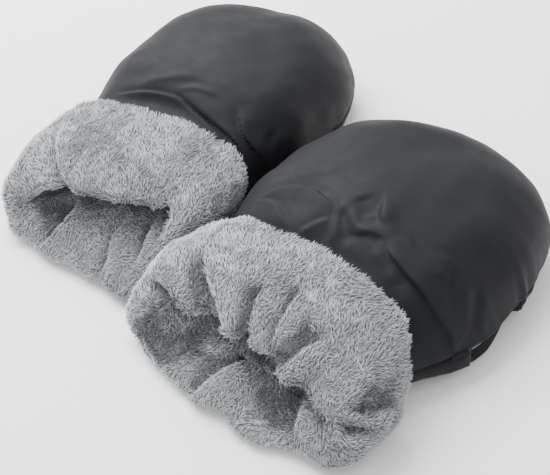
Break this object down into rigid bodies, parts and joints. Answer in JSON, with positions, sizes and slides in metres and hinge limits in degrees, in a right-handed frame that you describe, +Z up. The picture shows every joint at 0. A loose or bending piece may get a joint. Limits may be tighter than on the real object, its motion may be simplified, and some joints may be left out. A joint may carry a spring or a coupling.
{
  "type": "stroller hand muff",
  "caption": "Stroller hand muffs: padded pouches with plush lining, thick turned-out plush cuffs, handlebar slots in the side seams and a hook-and-loop flap underneath.",
  "frame": {"origin": "middle of the pair's footprint, on the surface that the muffs lie on", "axes": "+Z up, +Y roughly from the cuffs to the toes, +X from the left muff to the right one"},
  "size_m": [0.4056, 0.3842, 0.085],
  "materials": {
    "shell": "charcoal polyester, soft satin sheen",
    "wadding": "white fibre wadding",
    "plush": "light cool grey long-pile plush",
    "hook": "black hook tape",
    "loop": "black loop tape",
    "thread": "dense dark zigzag stitching"
  },
  "bodies": {
    "left_muff": {"left_shell_top": "shell", "left_shell_palm_wrist": "shell", "left_shell_palm_toe": "shell", "left_wadding_top": "wadding", "left_wadding_palm_wrist": "wadding", "left_wadding_palm_toe": "wadding", "left_lining_top": "plush", "left_lining_palm_wrist": "plush", "left_lining_palm_toe": "plush", "left_plush_cuff": "plush", "left_cuff_wadding": "wadding", "left_loop_tape": "loop", "left_mouth_tack_inner": "thread", "left_mouth_tack_outer": "thread", "left_toe_tack_inner": "thread", "left_toe_tack_outer": "thread"},
    "left_flap": {"left_flap_shell": "shell", "left_flap_wadding": "wadding", "left_flap_lining": "plush", "left_hook_tape": "hook"},
    "right_muff": {"right_shell_top": "shell", "right_shell_palm_wrist": "shell", "right_shell_palm_toe": "shell", "right_wadding_top": "wadding", "right_wadding_palm_wrist": "wadding", "right_wadding_palm_toe": "wadding", "right_lining_top": "plush", "right_lining_palm_wrist": "plush", "right_lining_palm_toe": "plush", "right_plush_cuff": "plush", "right_cuff_wadding": "wadding", "right_loop_tape": "loop", "right_mouth_tack_inner": "thread", "right_mouth_tack_outer": "thread", "right_toe_tack_inner": "thread", "right_toe_tack_outer": "thread"},
    "right_flap": {"right_flap_shell": "shell", "right_flap_wadding": "wadding", "right_flap_lining": "plush", "right_hook_tape": "hook"}
  },
  "joints": [
    {"name": "left_flap_hinge", "type": "hinge", "parent": "left_muff", "child": "left_flap", "pos_m": [-0.10354, 0.08536, 0], "axis": [0.9938, 0.1115, 0], "range_deg": [0, 100]},
    {"name": "right_muff_slide", "type": "slide", "parent": "left_muff", "child": "right_muff", "axis": [1, 0, 0], "range_m": [0, 0.25]},
    {"name": "right_flap_hinge", "type": "hinge", "parent": "right_muff", "child": "right_flap", "pos_m": [0.09613, 0.01482, 0], "axis": [0.9962, -0.0872, 0], "range_deg": [0, 100]}
  ]
}
